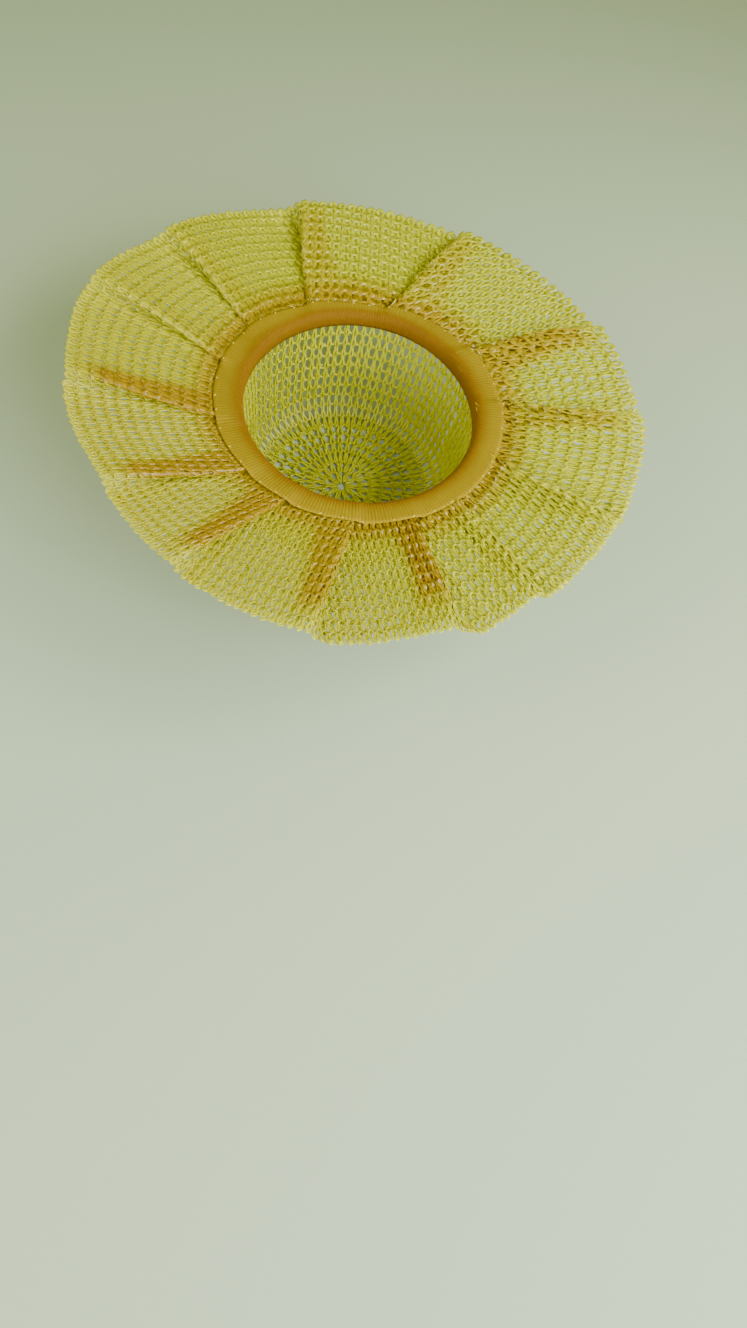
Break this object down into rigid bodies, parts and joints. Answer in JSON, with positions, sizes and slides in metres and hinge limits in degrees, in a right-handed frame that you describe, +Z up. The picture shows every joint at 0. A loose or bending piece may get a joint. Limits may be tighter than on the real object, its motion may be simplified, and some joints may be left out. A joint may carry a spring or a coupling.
{
  "type": "floppy hat",
  "caption": "Wide-brimmed floppy hat of doubled knitted straw net, with a pleated brim, a dense band round the head opening and a soft flat-tipped crown, laid crown down.",
  "frame": {"origin": "on the surface that the hat rests on, under the middle of its outline; the crown's flat tip lies on that surface", "axes": "+Z up, out of the head opening, since the hat lies crown down; X from ear to ear; +Y from the brow to the nape"},
  "size_m": [0.4294, 0.4514, 0.1175],
  "materials": {
    "net_yarn": "glossy lemon straw yarn, knitted in an open net",
    "band_yarn": "dense golden straw knit, satin"
  },
  "bodies": {
    "root": {"brim": "net_yarn", "crown": "net_yarn", "head_band": "band_yarn"}
  },
  "joints": []
}
